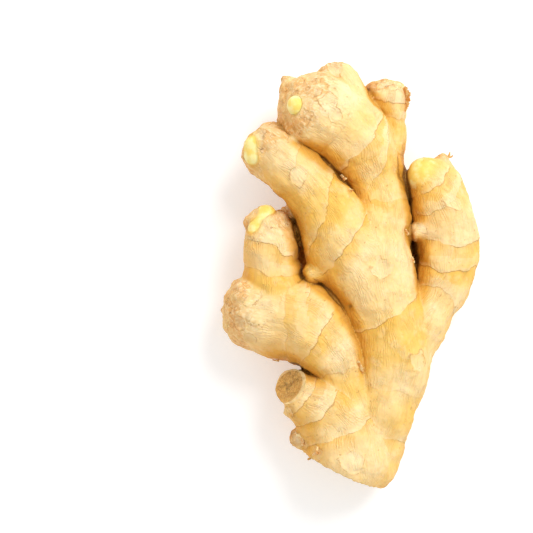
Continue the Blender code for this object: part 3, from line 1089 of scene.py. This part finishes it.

# %% The skin's colour, one layer over another
# Painted shade: the skin is painted deeper gold in the hollows.
hollow_shade = root.where("shade", 0.03, 0.65)
# Painted shade: the side turned away from the lamp is painted deeper gold and warmer.
far_side_shade = root.where("away_from_lamp", -0.85, 0.0)
golden = plus(root.fact("gold"), about(clouds, 1.5), about(patches, 0.5))
# More gold in hollows and on the side away from the lamp is painted shade.
golden = plus(golden, times(hollow_shade, 0.5), times(ring_foot, 0.45), times(far_side_shade, 0.4))
# The fine lines are painted stronger in hollows: partly painted shade.
lined = plus(times(ring_foot, 0.25), times(hollow_shade, 0.3), 0.15)

colour = layered(root.blend(root.ease(golden, 0.15, 1.1), CREAM, GOLD), [
    # Pale cream only on the side that faces the lamp: partly painted light.
    (0.8, times(root.ease(golden, 0.3, -0.3), root.ease(far_side_shade, 0.9, 0.3)), PALE),
    (0.3, root.ease(patches, 0.5, 0.7), PALE),
    (0.14, root.ease(long_lines, 0.5, 0.72), DEEP_GOLD),
    (1.0, times(fine_lines, lined), DEEP_GOLD),
    # Painted shade: deeper gold on the side away from the lamp.
    (0.25, far_side_shade, DEEP_GOLD),
    # Painted shade: gold and brown in the hollows.
    (0.7, hollow_shade, DEEP_GOLD),
    (0.5, root.where("shade", 0.45, 0.95), SHADE_BROWN_GOLD),
    (0.12, ring_foot, DEEP_GOLD),
    (0.22, ring_rim, PALE),
    (0.6, ring_line, RING_BROWN),
])

# %% Caps and round scars
rusty = root.ease(plus(root.fact("cap"), about(clouds, 1.8)), 0.65, 1.0)
mottle = layered(root.blend(root.ease(patches, 0.36, 0.58), CAP_TAN, CREAM), [
    (0.6, times(rusty, root.ease(patches, 0.38, 0.54)), CAP_RUST),
    (0.55, root.ease(flecks, 0.5, 0.6), PALE),
    (0.28, root.where("groove", 0.1, 0.9), CAP_BROWN),
])
fold_lines = times(plus(creases(folds, 0.025), creases(wide_folds, 0.016)), 0.7)
fold_lines = times(fold_lines, plus(times(on_cap, 0.4), 0.2), off_bud, root.ease(patches, 0.42, 0.58))
colour = layered(colour, [
    (0.85, on_cap, mottle),
    (1.0, fold_lines, CAP_BROWN),
    (0.3, times(in_scar, off_bud), PALE),
    (0.5, times(rim_line, off_bud), RING_BROWN),
    (0.5, times(root.ease(specks, 0.79, 0.84), off_bud), RING_BROWN),
])

# %% Painted shade away from the lamp, buds, and painted shade in hollows
# Painted shade: a warm tint multiplied over the side away from the lamp.
colour = root.blend(times(far_side_shade, 0.6), colour, FAR_SIDE_SHADE_TINT, "MULTIPLY")
bud_colour = root.blend(root.ease(patches, 0.42, 0.62), BUD_YELLOW, BUD_PALE)
colour = layered(colour, [
    (1.0, on_bud, bud_colour),
    # Painted shade: brown in the crevices and along the seams.
    (0.5, root.where("crevice", 0.1, 0.6), SHADE_BROWN_GOLD),
    (0.85, root.where("crevice", 0.45, 0.95), CREVICE_SHADE_BROWN),
    (0.5, root.where("seam", 0.2, 0.9), SHADE_BROWN_GOLD),
    (0.5, root.where("seam", 0.75, 1.0), CREVICE_SHADE_BROWN),
])

# %% Stub and heel
stub_colour = root.blend(root.ease(root.noise(place, 0.6, detail=3.0), 0.36, 0.66), SCAR_TAN, SCAR_DARK)
stub_colour = root.blend(root.where("scar_place", 6.2, 6.9), stub_colour, COLLAR)
heel_colour = root.blend(root.ease(root.noise(place, 1.2, detail=3.0), 0.42, 0.62), HEEL_TAN, SCAR_TAN)
colour = layered(colour, [(1.0, on_stub, stub_colour), (1.0, on_heel, heel_colour)])

# %% Small relief
BUMP = 0.36
RING_STEP = 0.45
RELIEF = [
    (0.6, long_lines),
    (-0.4, fine_lines),
    (-0.9, fold_lines),
    (1.6, patches),
    (0.25, flecks),
    (0.5, times(cross_lines, on_cap)),
    (0.25, grit),
]

relief = times(plus(*(times(pattern, tall) for tall, pattern in RELIEF)), off_bud)
relief = plus(relief, times(root.ease(ring, -0.25, 0.15), ring_shows, RING_STEP))
bump = root.add("Bump", {"Strength": 1.0, "Distance": BUMP * MM, "Height": relief}).outputs["Normal"]

# %% Sheen
DULL, GLOSSY = 0.62, 0.38

sheen = times(plus(on_bud, patches), 0.5)
roughness = root.add("MapRange", {"Value": sheen, "To Min": DULL, "To Max": GLOSSY}).outputs["Result"]
root.set(root.shader, {
    "Base Color": colour,
    "Roughness": roughness,
    "Normal": bump,
    "Specular IOR Level": 0.3,
    "Subsurface Weight": 0.18,
    "Subsurface Radius": (1.0, 0.5, 0.2),
    "Subsurface Scale": 2.0 * MM,
})
mesh.materials.append(root.material)
print("The skin's material has", len(root.tree.nodes), "nodes")

# %% [markdown]
# ## Scraps and fibres
#
# Scale leaves dry to paper and tear. A few scraps of them stay in the crevices and at the broken heel,
# and one curls off the side of the short outer finger, near its tip. Roots dry to short brown threads.
# All of them are small closed pieces. The scraps stand on the highest skin at their place, and the curl
# and the threads have their feet in the flesh.

# %% Where they lie
SCRAPS = [
    [(-4.6, 37, 1, 0.4), (-3.2, 34.9, 1.5, 0.8)],
    [(-1.8, 31.6, 0.8, 0.3), (-0.6, 30.6, 1.2, 0.6)],
    [(19, 17, 1, 0.5), (20.2, 14.8, 1.3, 0.8)],
    [(21.4, 7, 0.8, 0.4), (22.2, 4.6, 1, 0.6)],
    [(1.3, -31, 0.9, 0.5), (2.2, -33.2, 1.6, 0.8), (3.5, -35.8, 0.8, 0.3)],
    [(-21.6, -58.4, 0.8, 0.8), (-19.4, -60.2, 1.8, 1.4), (-18.6, -63, 1.2, 0.8)],
    [(-14.8, -65.9, 0.8, 0.7), (-12.8, -65, 1.7, 1.3), (-12.6, -62.2, 1, 0.6)],
    [(-29.5, -31.2, 0.6, 0.3), (-27, -31.9, 1, 0.5)],
]
SIDE_SCALES = [
    [(19.6, 70.5, 13, 1.6), (21, 67.5, 13.5, 2.2), (20.8, 64, 13.5, 1.9), (19.4, 61.5, 13, 1)],
]
FIBRES = [
    [(34.6, 43.4, 12.5, 0.7), (35.8, 44, 12.6, 0.55), (36.6, 45, 12.8, 0.45), (36.9, 46.2, 13, 0.2)],
    [(36.2, 44.4, 12.7, 0.4), (37.4, 44.5, 12.7, 0.35), (38, 45, 12.7, 0.2)],
    [(-29.3, 23, 18, 0.5), (-27, 24.2, 18.8, 0.45), (-24.6, 23.4, 19.6, 0.45), (-22.4, 21.4, 20.8, 0.3)],
    [(-13.7, -65.6, 12, 0.6), (-14.9, -67.9, 12, 0.5), (-16, -68.6, 12.2, 0.4)],
    [(-5.2, -70.6, 12, 0.6), (-6, -71.8, 12, 0.5), (-6.8, -72.2, 12.2, 0.4)],
    [(17.6, -62.2, 11, 1.2), (18.6, -62.6, 11, 1), (19.3, -62.7, 11, 0.6)],
]

# %% Sheets with a thickness
THICK = 0.16


def closed_sheet(top):
    """The grid, the same grid THICK lower along its normals, and a strip round the edge to join them."""
    rows, columns = top.shape[:2]
    index = np.arange(rows * columns).reshape(rows, columns)
    faces = np.stack([index[:-1, :-1], index[1:, :-1], index[1:, 1:], index[:-1, 1:]], -1).reshape(-1, 4)
    edge = np.concatenate([index[0, :-1], index[:-1, -1], index[-1, :0:-1], index[:0:-1, 0]])
    beside = np.roll(edge, -1)
    under = rows * columns
    strip = np.stack([edge, beside, beside + under, edge + under], -1)
    normals = unit(np.cross(np.gradient(top, axis=0), np.gradient(top, axis=1)))
    points = np.vstack([top.reshape(-1, 3), (top - THICK * normals).reshape(-1, 3)])
    return points, np.vstack([faces, faces[:, ::-1] + under, strip])


# %% Scraps and the curl
UP = np.array([0, 0, 1])
LEAST_TORN = 0.55
SCRAP_COLUMNS, CURL_COLUMNS = 5, 6
SCRAP_SUNK, CURL_SUNK = 0.25, 0.3
CURL_BEND = np.radians(100)


def torn_widths(widths):
    """Each width times a chance number from LEAST_TORN to 1, which makes the free edge jagged."""
    return widths * chance.uniform(LEAST_TORN, 1, len(widths))


def scrap(stations):
    """A strip from its foot in the skin, out to one side by its width and up by its lift."""
    x, y, width, lift = smooth_rows(stations).T
    tops = [highest_at(skin_points, *at)[2] for at in zip(x, y)]
    foot = np.column_stack([x + SHIFT[0], y + SHIFT[1], tops])
    side = unit(np.cross(UP, np.gradient(foot, axis=0)))
    out_by = np.linspace(0, 1, SCRAP_COLUMNS)[None, :, None]
    rise = (lift[:, None, None] * np.sin(np.pi / 2 * out_by) - SCRAP_SUNK) * UP
    return closed_sheet(foot[:, None] + side[:, None] * torn_widths(width)[:, None, None] * out_by + rise)


def side_scale(stations):
    """A strip out of the flesh nearest to the stations, curling up: out sin(bend) + up (1 - cos(bend))."""
    rows = smooth_rows(stations)
    foot = settled(rows[:, :3] + SHIFT)
    away = unit(ask_root(foot)["out"])
    bend = np.linspace(0, CURL_BEND, CURL_COLUMNS)[None, :, None]
    curl = away[:, None] * np.sin(bend) + UP * (1 - np.cos(bend))
    return closed_sheet((foot - CURL_SUNK * away)[:, None] + torn_widths(rows[:, 3])[:, None, None] * curl)


# %% Threads
FIBRE_SIDES = 10


def fibre(stations):
    """A round thread through the stations, which are x, y, z and radius."""
    plan = {"stations": [(*station, 0) for station in stations]}
    grid = tube(Limb("fibre", plan), FIBRE_SIDES)
    return grid.reshape(-1, 3), closed_tube_faces(*grid.shape[:2])


# %% Join and place them
def put(name, pieces, material):
    """One object that holds all the pieces and rides on the root."""
    starts = np.cumsum([0] + [len(points) for points, _ in pieces])
    faces = []
    for (_, own), start in zip(pieces, starts):
        faces += [[corner + int(start) for corner in face] for face in own]
    placed = added_mesh(name, np.vstack([points for points, _ in pieces]), faces)
    placed.data.shade_smooth()
    placed.data.materials.append(material)
    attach(placed, "root")


DRY_PATCHES = 1.2


def dry(name, light, dark):
    """A rough material that wanders between two paints."""
    chain = Chain(name)
    where = chain.add("TexCoord", {}).outputs["Object"]
    amount = chain.ease(chain.noise(where, DRY_PATCHES * MM), 0.4, 0.65)
    chain.set(chain.shader, {"Base Color": chain.blend(amount, light, dark), "Roughness": DULL})
    return chain.material


scales = [scrap(stations) for stations in SCRAPS] + [side_scale(stations) for stations in SIDE_SCALES]
put("dry_scales", scales, dry("dry_scale", CREAM, CAP_RUST))
put("fibres", [fibre(stations) for stations in FIBRES], dry("dry_fibre", SCAR_TAN, RING_BROWN))
print(len(SCRAPS) + len(SIDE_SCALES), "scraps and", len(FIBRES), "fibres")

# %% [markdown]
# ## Light and floor
#
# The root lies on a white table under a big soft lamp, in a white room. The lamp stands behind the
# fingers' tips and a little to their right, so the near sides of the fingers fall off gently. Almost
# all the light is the room's, and the table glows a little by itself, which keeps the shadows thin and
# pale.

# %% White table
FLOOR_REACH, FLOOR_GAP = 3000, 0.1

corners = np.array([(-1, -1, 0), (1, -1, 0), (1, 1, 0), (-1, 1, 0)]) * FLOOR_REACH
floor = added_mesh("floor", corners, [(0, 1, 2, 3)])
floor.location.z = -FLOOR_GAP * MM
table = Chain("white_table")
table.set(table.shader, {
    "Base Color": (0.85, 0.85, 0.85, 1),
    "Roughness": 0.8,
    "Specular IOR Level": 0.1,
    "Emission Color": (1, 1, 1, 1),
    "Emission Strength": 0.28,
})
floor.data.materials.append(table.material)
floor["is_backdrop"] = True

# %% Soft lamp and white room
LAMP_SIZE, LAMP_WATTS = 700, 11.2
LAMP_PLACE = (550, 750, 1000)
ROOM_LIGHT = 0.79

lamp = added("soft_lamp", bpy.data.lights.new("soft_lamp", "AREA"))
lamp.data.shape = "DISK"
lamp.data.size = LAMP_SIZE * MM
lamp.data.energy = LAMP_WATTS
lamp.location = [number * MM for number in LAMP_PLACE]
lamp.rotation_euler = (-lamp.location).to_track_quat("-Z", "Y").to_euler()

room = bpy.data.worlds.new("white_room")
room.use_nodes = True
room.node_tree.nodes["Background"].inputs["Color"].default_value = (1, 1, 1, 1)
room.node_tree.nodes["Background"].inputs["Strength"].default_value = ROOM_LIGHT
bpy.context.scene.world = room
bpy.context.scene.view_settings.view_transform = "Standard"

# %% [markdown]
# ## Done
#
# The box of the finished skin is set beside the solid's, because the two must agree closely.

# %% Compare the boxes and finish
skin_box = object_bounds()
for axis in range(3):
    solid, dressed = (box[1][axis] - box[0][axis] for box in (cad_box, skin_box))
    print("XYZ"[axis], "solid", round(solid / MM, 2), "mm, skin", round(dressed / MM, 2), "mm")
